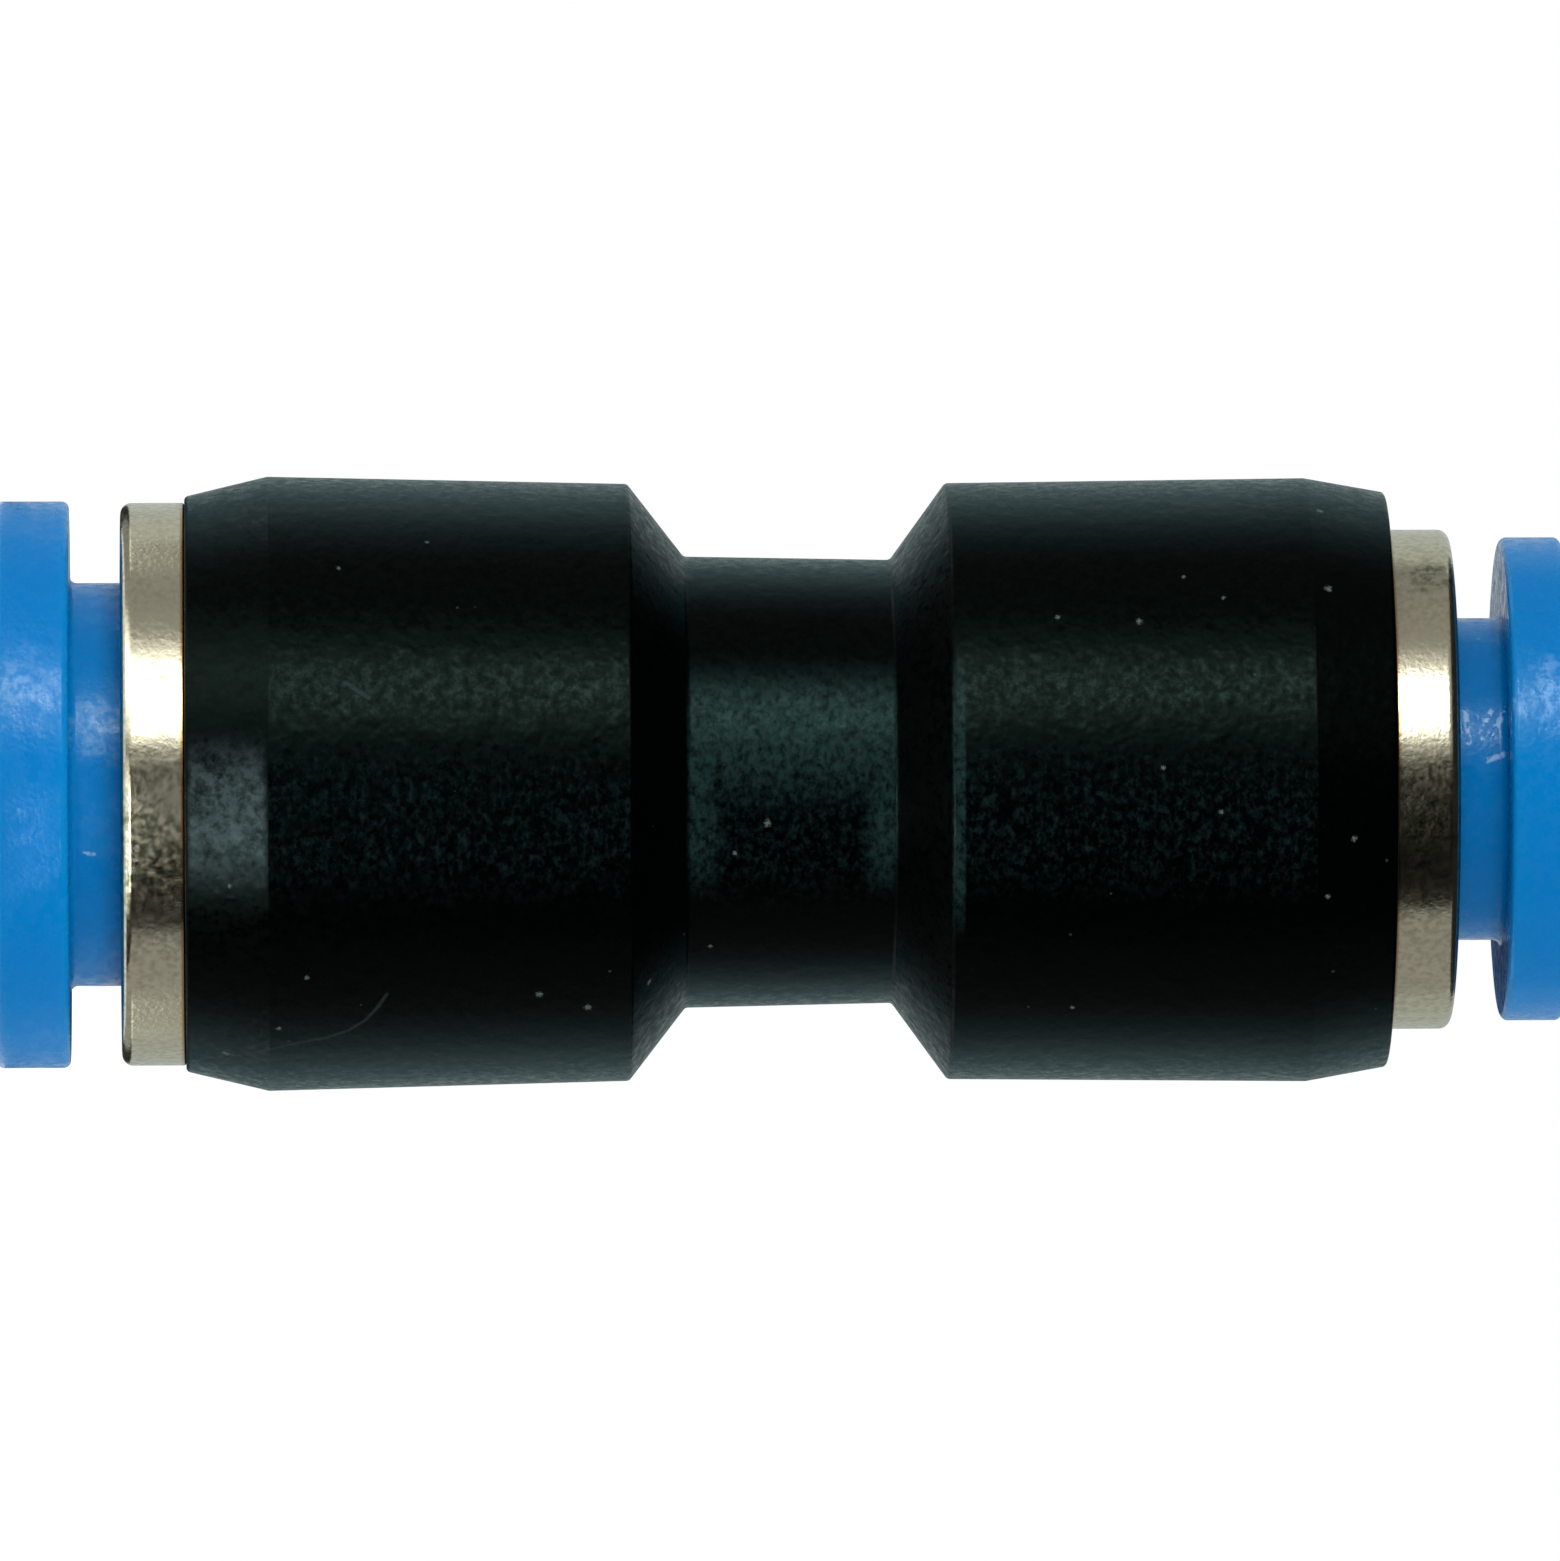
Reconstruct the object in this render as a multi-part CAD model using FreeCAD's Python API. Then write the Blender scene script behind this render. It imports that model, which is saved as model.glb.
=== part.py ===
"""Straight reducing push-fit connector for plastic air tube, 8 mm to 6 mm.

A moulded body with a waist joins two push-fit ports. Each port holds, from the outside in,
a release sleeve, a pressed-in guide ring, a toothed claw ring, its seat and a lip seal.

The axis is Z. The large port's sleeve stands on z = 0 and the small port points up.
A port's own depths run inwards from the end face of the body, so the depth of anything
that stands out of the body is negative.
"""

import FreeCAD
import Part
import math
import os

from FreeCAD import Vector

# Tubes, outer diameter
LARGE_TUBE_D = 8.0
SMALL_TUBE_D = 6.0

# Body, lengths along the axis from the large end to the small one
LARGE_CHAMFER_LENGTH = 2.05
LARGE_BARREL_LENGTH = 8.93
LARGE_CONE_LENGTH = 1.4
NECK_LENGTH = 5.12
SMALL_CONE_LENGTH = 1.38
SMALL_BARREL_LENGTH = 8.9
SMALL_CHAMFER_LENGTH = 2.0

# Body, walls outside the bore that takes the guide ring
LARGE_END_WALL = 0.93
LARGE_RIM_WALL = 1.42
LARGE_SHOULDER_WALL = 1.21
SMALL_SHOULDER_WALL = 2.2
SMALL_RIM_WALL = 2.29
SMALL_END_WALL = 1.93

# Body, waist, tube sockets and passage
NECK_WALL = 1.55
NECK_DRAFT = 0.1
LARGE_SOCKET_LENGTH = 3.3
SMALL_SOCKET_LENGTH = 2.55
SOCKET_LEAD = 0.3
FLOW_BORE_D = 4.8
BODY_END_ROUND = 0.12
SHOULDER_ROUND = 0.3
WAIST_ROUND = 0.35

# Release sleeve
LARGE_TRAVEL = 1.2
SMALL_TRAVEL = 1.2
TRAVEL_SPARE = 0.07
SLEEVE_WALL = 0.9
LARGE_FLANGE_LIP = 2.03
SMALL_FLANGE_LIP = 2.0
LARGE_FLANGE_THICKNESS = 1.83
SMALL_FLANGE_THICKNESS = 1.5
FLANGE_ROUND = 0.18
FLANGE_ROOT_ROUND = 0.2
MOUTH_CHAMFER = 0.5
SNAP_HEIGHT = 0.4
SNAP_LAND = 0.4
SNAP_RAMP = 0.8
NOSE_STEP = 0.15
NOSE_LAND = 0.12
SLOT_COUNT = 4
SLOT_WIDTH = 0.8
SLOT_ROOT_DEPTH = 0.5

# Guide ring
LARGE_GUIDE_LIP = 0.78
SMALL_GUIDE_LIP = 1.0
LARGE_GUIDE_THICKNESS = 1.59
SMALL_GUIDE_THICKNESS = 1.59
GUIDE_ROUND = 0.28
GUIDE_WALL = 0.45
GUIDE_LIP_DEPTH = 1.6
GUIDE_MOUTH_CHAMFER = 0.15
PRESS_BARB_COUNT = 3
PRESS_BARB_FIRST = 1.0
PRESS_BARB_PITCH = 1.3
PRESS_BARB_HEIGHT = 0.15
PRESS_BARB_RAMP = 0.8

# Claw ring
LARGE_TOOTH_COUNT = 10
SMALL_TOOTH_COUNT = 8
CLAW_STOCK = 0.25
CLAW_RIM_OVERLAP = 0.1
CLAW_BITE = 0.12
CLAW_SLOT_WIDTH = 0.55
CLAW_ROOT_D = 0.8

# Claw seat
SPIGOT_WALL = 0.35
SEAT_FLANGE_THICKNESS = 1.25
SEAT_LAND = 0.35
SEAT_BORE_GAP = 0.15

# Seal
SEAL_LENGTH = 2.8
SEAL_POCKET_STEP = 0.5
SEAL_BITE = 0.12
SEAL_LIP_HEIGHT = 0.4
SEAL_LIP_LENGTH = 0.75
SEAL_LEG = 0.4
SEAL_GROOVE_DEPTH = 1.0

# Clearances
TUBE_GAP = 0.1
SOCKET_GAP = 0.05
RUNNING_GAP = 0.05
SNAP_GAP = 0.15
SNAP_END_GAP = 0.2
CLAW_END_PLAY = 0.05
CLAW_RADIAL_GAP = 0.1
NOSE_GAP = 0.25
PRESSED_NOSE_GAP = 0.65
PRESS_GAP = 0.02
SEAL_GAP = 0.05
SEAL_END_GAP = 0.15

AXIS = Vector(0, 0, 1)
ORIGIN = Vector(0, 0, 0)
PARTS_FOLDER = "parts"


class Port:
    """Radii and depths of one port, all worked out from the sizes above."""

    def __init__(self, suffix, tube_d, travel, flange_lip, flange_thickness,
                 guide_lip, guide_thickness, socket_length, tooth_count):
        self.suffix = suffix
        self.travel = travel
        self.tooth_count = tooth_count
        self.tube_r = tube_d / 2

        self.sleeve_bore_r = self.tube_r + TUBE_GAP
        self.sleeve_r = self.sleeve_bore_r + SLEEVE_WALL
        self.flange_r = self.sleeve_r + flange_lip
        self.snap_r = self.sleeve_r + SNAP_HEIGHT
        self.nose_r = self.sleeve_r - NOSE_STEP
        self.nose_tip_r = self.sleeve_bore_r + NOSE_LAND

        self.guide_bore_r = self.sleeve_r + RUNNING_GAP
        self.guide_recess_r = self.snap_r + SNAP_GAP
        self.claw_rim_r = self.guide_recess_r + CLAW_RIM_OVERLAP
        self.claw_pocket_r = self.claw_rim_r + CLAW_RADIAL_GAP
        self.guide_barrel_r = self.claw_pocket_r + GUIDE_WALL
        self.guide_flange_r = self.guide_barrel_r + guide_lip
        self.body_bore_r = self.guide_barrel_r + PRESS_GAP

        self.claw_bend_r = self.guide_bore_r + CLAW_RADIAL_GAP
        self.claw_tip_r = self.tube_r - CLAW_BITE
        self.seat_spigot_r = self.claw_pocket_r - RUNNING_GAP
        self.seat_mouth_r = self.seat_spigot_r - SPIGOT_WALL
        self.seat_bore_r = self.tube_r + SEAT_BORE_GAP
        self.seal_pocket_r = self.guide_barrel_r - SEAL_POCKET_STEP
        self.socket_r = self.tube_r + SOCKET_GAP

        self.guide_face = -guide_thickness
        self.flange_back = self.guide_face - travel - TRAVEL_SPARE
        self.sleeve_face = self.flange_back - flange_thickness

        self.snap_start = GUIDE_LIP_DEPTH + RUNNING_GAP
        self.snap_end = self.snap_start + SNAP_LAND + SNAP_RAMP
        self.claw_front = self.snap_end + travel + SNAP_END_GAP
        self.claw_back = self.claw_front + CLAW_STOCK
        self.nose_start = self.tooth_front(self.nose_r) - NOSE_GAP
        self.nose_end = self.tooth_front(self.nose_tip_r) - NOSE_GAP

        room_for_nose = self.nose_start + travel + PRESSED_NOSE_GAP
        self.seat_cone_start = room_for_nose - (self.seat_mouth_r - self.nose_r)
        self.seat_cone_end = self.seat_cone_start + self.seat_mouth_r - self.seat_bore_r
        self.seat_end = self.seat_cone_end + SEAT_LAND
        self.seat_flange = self.seat_end - SEAT_FLANGE_THICKNESS
        self.guide_end = self.seat_flange - CLAW_END_PLAY

        self.seal_start = self.seat_end + SEAL_GAP
        self.seal_end = self.seal_start + SEAL_LENGTH
        self.seal_pocket_end = self.seal_end + SEAL_END_GAP
        self.tube_stop = self.seal_pocket_end + socket_length

    def tooth_front(self, radius):
        """Depth of the teeth's front face, which slopes in at 45 degrees, at a radius."""
        return self.claw_front + self.claw_bend_r - tooth_bend_shift() - radius


def tooth_bend_shift():
    """How much smaller the bend is on the front face than on the back, for teeth at 45 degrees."""
    return CLAW_STOCK * math.tan(math.radians(45) / 2)


def rounded_corner(before, corner, after, radius):
    """Start, middle and end of the arc that rounds a corner."""
    back = (before - corner).normalize()
    ahead = (after - corner).normalize()
    half_angle = back.getAngle(ahead) / 2
    setback = radius / math.tan(half_angle)
    bisector = (back + ahead).normalize()
    start = corner + back * setback
    middle = corner + bisector * (radius / math.sin(half_angle) - radius)
    end = corner + ahead * setback
    return start, middle, end


def turned(corners):
    """Solid of revolution about Z from (radius, height) or (radius, height, round) corners."""
    points = [Vector(corner[0], 0, corner[1]) for corner in corners]
    rounds = [corner[2] if len(corner) > 2 else 0 for corner in corners]
    edges = []
    starts = []
    ends = []
    for i, (point, radius) in enumerate(zip(points, rounds)):
        if radius:
            after = points[(i + 1) % len(points)]
            start, middle, end = rounded_corner(points[i - 1], point, after, radius)
            edges.append(Part.Arc(start, middle, end).toShape())
        else:
            start = end = point
        starts.append(start)
        ends.append(end)
    for i, end in enumerate(ends):
        edges.append(Part.LineSegment(end, starts[(i + 1) % len(starts)]).toShape())
    outline = Part.Wire(Part.__sortEdges__(edges))
    solid = Part.Face(outline).revolve(ORIGIN, AXIS, 360)
    return solid if solid.Volume > 0 else solid.reversed()


def spread_round(shape, count):
    """Copies of a shape, evenly spaced about Z."""
    copies = []
    for i in range(count):
        copy = shape.copy()
        copy.rotate(ORIGIN, AXIS, 360 * i / count)
        copies.append(copy)
    return copies


def press_barbs(radius, gap):
    """Saw-tooth corners along the guide ring's barrel, each with its steep side outwards."""
    corners = []
    for i in range(PRESS_BARB_COUNT):
        depth = PRESS_BARB_FIRST + i * PRESS_BARB_PITCH
        corners.append((radius, depth - gap))
        corners.append((radius + PRESS_BARB_HEIGHT, depth - gap))
        corners.append((radius, depth + PRESS_BARB_RAMP))
    return corners


def release_sleeve(port):
    """Flanged sleeve with slotted fingers that snap in behind the guide ring's lip."""
    solid = turned([
        (port.sleeve_bore_r + MOUTH_CHAMFER, port.sleeve_face),
        (port.flange_r, port.sleeve_face, FLANGE_ROUND),
        (port.flange_r, port.flange_back, FLANGE_ROUND),
        (port.sleeve_r, port.flange_back, FLANGE_ROOT_ROUND),
        (port.sleeve_r, port.snap_start),
        (port.snap_r, port.snap_start),
        (port.snap_r, port.snap_start + SNAP_LAND),
        (port.nose_r, port.snap_end),
        (port.nose_r, port.nose_start),
        (port.nose_tip_r, port.nose_end),
        (port.sleeve_bore_r, port.nose_end),
        (port.sleeve_bore_r, port.sleeve_face + MOUTH_CHAMFER),
    ])
    slot = Part.makeBox(port.guide_recess_r, SLOT_WIDTH, port.nose_end - SLOT_ROOT_DEPTH,
                        Vector(0, -SLOT_WIDTH / 2, SLOT_ROOT_DEPTH))
    root = Part.makeCylinder(SLOT_WIDTH / 2, port.guide_recess_r,
                             Vector(0, 0, SLOT_ROOT_DEPTH), Vector(1, 0, 0))
    return solid.cut(spread_round(slot.fuse(root), SLOT_COUNT))


def guide_ring(port):
    """Nickel-plated ring with a flange on the body and a barbed barrel pressed into it."""
    return turned([
        (port.guide_bore_r + GUIDE_MOUTH_CHAMFER, port.guide_face),
        (port.guide_flange_r, port.guide_face, GUIDE_ROUND),
        (port.guide_flange_r, 0),
        (port.guide_barrel_r, 0),
        *press_barbs(port.guide_barrel_r, 0),
        (port.guide_barrel_r, port.guide_end),
        (port.claw_pocket_r, port.guide_end),
        (port.claw_pocket_r, port.claw_front - CLAW_END_PLAY),
        (port.guide_recess_r, port.claw_front - CLAW_END_PLAY),
        (port.guide_recess_r, GUIDE_LIP_DEPTH),
        (port.guide_bore_r, GUIDE_LIP_DEPTH),
        (port.guide_bore_r, port.guide_face + GUIDE_MOUTH_CHAMFER),
    ])


def claw_ring(port):
    """Stamped ring whose teeth slope inwards at 45 degrees and bite the tube."""
    edge_step = CLAW_STOCK * math.sin(math.radians(45))
    tip_depth = port.tooth_front(port.claw_tip_r)
    solid = turned([
        (port.claw_rim_r, port.claw_front),
        (port.claw_rim_r, port.claw_back),
        (port.claw_bend_r, port.claw_back),
        (port.claw_tip_r + edge_step, tip_depth + edge_step),
        (port.claw_tip_r, tip_depth),
        (port.claw_bend_r - tooth_bend_shift(), port.claw_front),
    ])
    slot_length = tip_depth + edge_step - port.claw_front
    slot = Part.makeBox(port.claw_bend_r, CLAW_SLOT_WIDTH, slot_length,
                        Vector(0, -CLAW_SLOT_WIDTH / 2, port.claw_front))
    root = Part.makeCylinder(CLAW_ROOT_D / 2, slot_length,
                             Vector(port.claw_bend_r, 0, port.claw_front), AXIS)
    return solid.cut(spread_round(slot.fuse(root), port.tooth_count))


def claw_seat(port):
    """Ring that clamps the claw ring's rim and leaves its teeth room to open."""
    return turned([
        (port.seat_mouth_r, port.claw_back + CLAW_END_PLAY),
        (port.seat_spigot_r, port.claw_back + CLAW_END_PLAY),
        (port.seat_spigot_r, port.seat_flange),
        (port.guide_barrel_r, port.seat_flange),
        (port.guide_barrel_r, port.seat_end),
        (port.seat_bore_r, port.seat_end),
        (port.seat_bore_r, port.seat_cone_end),
        (port.seat_mouth_r, port.seat_cone_start),
    ])


def seal(port):
    """Rubber lip seal: a wiping lip outside, and a split pressure lip that faces the passage."""
    outer_r = port.seal_pocket_r - SEAL_GAP
    lip_r = port.tube_r - SEAL_BITE
    waist_r = lip_r + SEAL_LIP_HEIGHT
    groove_r = (outer_r + waist_r) / 2
    return turned([
        (outer_r, port.seal_start),
        (outer_r, port.seal_end),
        (outer_r - SEAL_LEG, port.seal_end),
        (groove_r, port.seal_end - SEAL_GROOVE_DEPTH),
        (waist_r, port.seal_end),
        (lip_r, port.seal_end - SEAL_LIP_LENGTH / 2),
        (waist_r, port.seal_end - SEAL_LIP_LENGTH - SEAL_LIP_HEIGHT),
        (waist_r, port.seal_start + SEAL_LIP_LENGTH),
        (lip_r, port.seal_start + SEAL_LIP_LENGTH / 2),
        (waist_r, port.seal_start),
    ])


def socket_corners(port):
    """Corners of the stepped hole for one port, from the body's end face to the tube stop."""
    return [
        (port.body_bore_r, 0),
        *press_barbs(port.body_bore_r, PRESS_GAP),
        (port.body_bore_r, port.seat_end),
        (port.seal_pocket_r, port.seat_end),
        (port.seal_pocket_r, port.seal_pocket_end),
        (port.socket_r + SOCKET_LEAD, port.seal_pocket_end),
        (port.socket_r, port.seal_pocket_end + SOCKET_LEAD),
        (port.socket_r, port.tube_stop),
        (FLOW_BORE_D / 2, port.tube_stop),
    ]


def body(large, small, large_end, small_end):
    """Moulded body: two barrels, a conical shoulder from each to the waist, and both sockets."""
    large_neck_r = large.socket_r + NECK_WALL
    large_rim = large_end + LARGE_CHAMFER_LENGTH
    large_shoulder = large_rim + LARGE_BARREL_LENGTH
    neck_start = large_shoulder + LARGE_CONE_LENGTH
    neck_end = neck_start + NECK_LENGTH
    small_shoulder = neck_end + SMALL_CONE_LENGTH
    small_rim = small_shoulder + SMALL_BARREL_LENGTH
    outside = [
        (large.guide_barrel_r + LARGE_END_WALL, large_end, BODY_END_ROUND),
        (large.guide_barrel_r + LARGE_RIM_WALL, large_rim),
        (large.guide_barrel_r + LARGE_SHOULDER_WALL, large_shoulder, SHOULDER_ROUND),
        (large_neck_r, neck_start, WAIST_ROUND),
        (large_neck_r - NECK_DRAFT, neck_end, WAIST_ROUND),
        (small.guide_barrel_r + SMALL_SHOULDER_WALL, small_shoulder, SHOULDER_ROUND),
        (small.guide_barrel_r + SMALL_RIM_WALL, small_rim),
        (small.guide_barrel_r + SMALL_END_WALL, small_end, BODY_END_ROUND),
    ]
    small_socket = [(radius, small_end - depth) for radius, depth in socket_corners(small)]
    large_socket = [(radius, large_end + depth) for radius, depth in socket_corners(large)]
    return turned(outside + small_socket + large_socket[::-1])


def placed(shape, end, points_up):
    """Move a port's piece from its own frame to its end of the body."""
    if points_up:
        shape.rotate(ORIGIN, Vector(1, 0, 0), 180)
    shape.translate(Vector(0, 0, end))
    return shape


def save(shape, node):
    """Write one sub-part and print what it measures."""
    shape.exportStep(os.path.join(PARTS_FOLDER, node + ".step"))
    box = shape.optimalBoundingBox(False)
    print(f"{node}: {len(shape.Solids)} solid, valid {shape.isValid()}, "
          f"{shape.Volume:.2f} mm3, z {box.ZMin:.3f} to {box.ZMax:.3f}, width {box.XLength:.2f}")


def main():
    os.makedirs(PARTS_FOLDER, exist_ok=True)
    large = Port("8mm", LARGE_TUBE_D, LARGE_TRAVEL, LARGE_FLANGE_LIP, LARGE_FLANGE_THICKNESS,
                 LARGE_GUIDE_LIP, LARGE_GUIDE_THICKNESS, LARGE_SOCKET_LENGTH, LARGE_TOOTH_COUNT)
    small = Port("6mm", SMALL_TUBE_D, SMALL_TRAVEL, SMALL_FLANGE_LIP, SMALL_FLANGE_THICKNESS,
                 SMALL_GUIDE_LIP, SMALL_GUIDE_THICKNESS, SMALL_SOCKET_LENGTH, SMALL_TOOTH_COUNT)
    body_length = (LARGE_CHAMFER_LENGTH + LARGE_BARREL_LENGTH + LARGE_CONE_LENGTH + NECK_LENGTH
                   + SMALL_CONE_LENGTH + SMALL_BARREL_LENGTH + SMALL_CHAMFER_LENGTH)
    large_end = -large.sleeve_face
    small_end = large_end + body_length

    save(body(large, small, large_end, small_end), "body")
    for port, end, points_up in ((large, large_end, False), (small, small_end, True)):
        for make in (release_sleeve, guide_ring, claw_ring, claw_seat, seal):
            save(placed(make(port), end, points_up), f"{make.__name__}_{port.suffix}")


main()
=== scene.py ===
"""Looks of a straight reducing push-fit connector for plastic air tube, 8 mm to 6 mm.

The axis is Z and the large port stands on the floor. Sizes are in millimetres, and a port's
own depths run inwards from the end face of the body, as they do in the part's source.
"""

import math

import bmesh
import bpy
from mathutils import Matrix, Vector


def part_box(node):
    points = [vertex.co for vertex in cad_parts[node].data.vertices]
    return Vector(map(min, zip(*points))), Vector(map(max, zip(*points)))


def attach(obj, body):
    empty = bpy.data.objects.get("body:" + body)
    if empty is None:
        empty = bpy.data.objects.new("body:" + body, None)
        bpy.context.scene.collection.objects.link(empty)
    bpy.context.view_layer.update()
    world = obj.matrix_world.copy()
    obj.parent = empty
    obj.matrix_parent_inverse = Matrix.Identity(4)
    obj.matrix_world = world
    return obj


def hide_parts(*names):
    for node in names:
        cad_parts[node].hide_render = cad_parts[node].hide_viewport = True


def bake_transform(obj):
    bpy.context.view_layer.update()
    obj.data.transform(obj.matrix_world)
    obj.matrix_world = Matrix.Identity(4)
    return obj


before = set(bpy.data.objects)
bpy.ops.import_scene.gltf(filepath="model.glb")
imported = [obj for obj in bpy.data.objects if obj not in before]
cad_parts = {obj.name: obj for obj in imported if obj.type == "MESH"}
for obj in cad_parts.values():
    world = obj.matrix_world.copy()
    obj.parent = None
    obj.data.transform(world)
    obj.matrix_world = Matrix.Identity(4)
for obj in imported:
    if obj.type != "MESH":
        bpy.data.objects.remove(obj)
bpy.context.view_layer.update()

MM = 0.001

# Tubes, outer radius
LARGE_TUBE_R = 4.0
SMALL_TUBE_R = 3.0

# Body, stations along the axis
LARGE_END = 4.69
LARGE_CHAMFER_LENGTH = 2.05
LARGE_BARREL_LENGTH = 8.93
LARGE_CONE_LENGTH = 1.4
NECK_LENGTH = 5.12
SMALL_CONE_LENGTH = 1.38
SMALL_BARREL_LENGTH = 8.9
SMALL_CHAMFER_LENGTH = 2.0
LARGE_RIM = LARGE_END + LARGE_CHAMFER_LENGTH
LARGE_SHOULDER = LARGE_RIM + LARGE_BARREL_LENGTH
NECK_START = LARGE_SHOULDER + LARGE_CONE_LENGTH
NECK_END = NECK_START + NECK_LENGTH
SMALL_SHOULDER = NECK_END + SMALL_CONE_LENGTH
SMALL_RIM = SMALL_SHOULDER + SMALL_BARREL_LENGTH
SMALL_END = SMALL_RIM + SMALL_CHAMFER_LENGTH

# Body, radii outside and roundings
LARGE_END_R = 7.13
LARGE_RIM_R = 7.62
LARGE_SHOULDER_R = 7.41
NECK_R = 5.6
NECK_DRAFT = 0.1
SMALL_SHOULDER_R = 7.4
SMALL_RIM_R = 7.49
SMALL_END_R = 7.13
BODY_END_ROUND = 0.12
RIM_ROUND = 0.2
SHOULDER_ROUND = 0.15
WAIST_ROUND = 0.15
BODY_OUTSIDE = (
    (LARGE_END_R, LARGE_END, BODY_END_ROUND),
    (LARGE_RIM_R, LARGE_RIM, RIM_ROUND),
    (LARGE_SHOULDER_R, LARGE_SHOULDER, SHOULDER_ROUND),
    (NECK_R, NECK_START, WAIST_ROUND),
    (NECK_R - NECK_DRAFT, NECK_END, WAIST_ROUND),
    (SMALL_SHOULDER_R, SMALL_SHOULDER, SHOULDER_ROUND),
    (SMALL_RIM_R, SMALL_RIM, RIM_ROUND),
    (SMALL_END_R, SMALL_END, BODY_END_ROUND),
)
FLOW_BORE_R = 2.4

# Release sleeve
LARGE_FLANGE_THICKNESS = 1.83
SMALL_FLANGE_THICKNESS = 1.5
SLEEVE_WALL = 0.9
FLANGE_ROUND = 0.18
FLANGE_ROOT_ROUND = 0.2
MOUTH_CHAMFER = 0.5
MOUTH_ROUND = 0.08
TRAVEL = 1.2
SNAP_LAND = 0.4
SNAP_RAMP = 0.8
SNAP_HEIGHT = 0.4
NOSE_STEP = 0.15
NOSE_LAND = 0.12
SLOT_COUNT = 4
SLOT_WIDTH = 0.8
SLOT_ROOT_DEPTH = 0.5

# Guide ring
GUIDE_ROUND = 0.28
GUIDE_HEEL_ROUND = 0.06
GUIDE_WALL = 0.45
GUIDE_LIP_DEPTH = 1.6
GUIDE_MOUTH_CHAMFER = 0.15
PRESS_BARB_DEPTHS = (1.0, 2.3, 3.6)
PRESS_BARB_HEIGHT = 0.15
PRESS_BARB_RAMP = 0.8

# Claw ring
LARGE_TOOTH_COUNT = 10
SMALL_TOOTH_COUNT = 8
TOOTH_SLOPE = math.radians(45)
CLAW_STOCK = 0.25
CLAW_RIM_OVERLAP = 0.1
CLAW_BITE = 0.12
CLAW_SLOT_WIDTH = 0.55
CLAW_ROOT_D = 0.8
CLAW_FLEX_LENGTH = 0.3

# Sockets in the body
SEAT_FLANGE_THICKNESS = 1.25
SEAL_POCKET_LENGTH = 3.0
SEAL_POCKET_STEP = 0.5
SOCKET_LEAD = 0.3
LARGE_SOCKET_LENGTH = 3.3
SMALL_SOCKET_LENGTH = 2.55

# Clearances
TUBE_GAP = 0.1
SOCKET_GAP = 0.05
RUNNING_GAP = 0.05
SNAP_GAP = 0.15
SNAP_END_GAP = 0.2
CLAW_END_PLAY = 0.05
CLAW_RADIAL_GAP = 0.1
PRESS_GAP = 0.02

# Depths that both ports share
SNAP_START = GUIDE_LIP_DEPTH + RUNNING_GAP
SNAP_END = SNAP_START + SNAP_LAND + SNAP_RAMP
CLAW_FRONT = SNAP_END + TRAVEL + SNAP_END_GAP

# Fineness of the turned pieces, and how far a cutter reaches past what it cuts
SEGMENTS = 256
ARC_STEP_DEG = 9
SUPPORT_GAP = 0.03
SLOT_ROOT_STEPS = 12
CLAW_ROOT_STEPS = 16
SHARP_ANGLE = math.radians(30)
CUT_START_R = 1
CUT_SPARE = 1

# Dust on the body: height along the axis, distance across it, width
BODY_SPECKS = (
    (8.49, -5.29, 0.16),
    (10.67, -5.93, 0.13),
    (5.78, 2.51, 0.16),
    (7.67, 4.77, 0.16),
    (5.66, 6.65, 0.24),
    (6.98, 6.03, 0.18),
    (13.38, 5.21, 0.24),
    (14.57, 5.54, 0.26),
    (16.09, 4.92, 0.2),
    (19.01, 1.02, 0.24),
    (18.2, 1.76, 0.15),
    (17.62, 4.05, 0.15),
    (26.14, -4.0, 0.18),
    (28.15, -3.9, 0.2),
    (32.82, -4.69, 0.24),
    (32.74, -6.63, 0.24),
    (29.27, -4.99, 0.14),
    (30.23, -4.47, 0.14),
    (28.67, -0.3, 0.14),
    (30.09, 0.79, 0.14),
    (33.36, 1.46, 0.18),
    (32.72, 2.88, 0.16),
    (26.51, 5.59, 0.14),
)
# Scratches on the body: width, then (height along the axis, distance across it) points
BODY_SCRATCHES = (
    (0.1, (4.8, 6.9), (5.5, 6.79), (6.1, 6.68), (6.7, 6.56), (7.27, 6.42), (8.1, 6.27), (8.7, 6.08),
     (9.1, 5.83), (9.4, 5.52), (9.63, 5.19)),
    (0.12, (8.64, -2.46), (9.21, -2.09)),
)
# Painted highlight bands along the camera's side of the body, from one distance across to another
HIGHLIGHT_TAIL_BAND = (-0.6, 2.5)
WAIST_BAND = (-2.3, 0.1)
WAIST_CORNER_BAND = (-2.3, 2.2)
SHOULDER_BAND = (-2.5, 3.2)
CHAMFER_BAND = (-0.6, 2.0)
BAND_FADE = 0.9
# Stain on the guide rings beside the body, from where it is full to where it ends
STAIN_EDGE = (0.05, 0.14)
# Tarnish and painted dark reflection on the guide rings, as a point in millimetres and a width
TARNISH_AND_DARK_REFLECTION = (
    # This patch and the third paint the dark reflection of the front; the rest are tarnished spots
    ((1.5, -6.8, 3.9), 5.5),
    ((-2.6, -6.4, 3.9), 1.2),
    ((1.5, -6.0, 35.0), 3.6),
    ((6.5, 2.5, 3.9), 3),
    ((-5.9, 3.7, 3.9), 4),
    ((-5.0, -3.6, 35.3), 1.6),
    ((2.4, 5.7, 35.3), 3),
)
# Painted highlights on the sleeves, where the softbox shines, given in the same way
PAINTED_SLEEVE_HIGHLIGHTS = (
    ((-2.3, -6.5, 0.7), 2.6),
    ((-1.5, -4.8, 2.6), 2.1),
    ((-2.1, -5.5, 38.2), 2.1),
)
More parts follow.
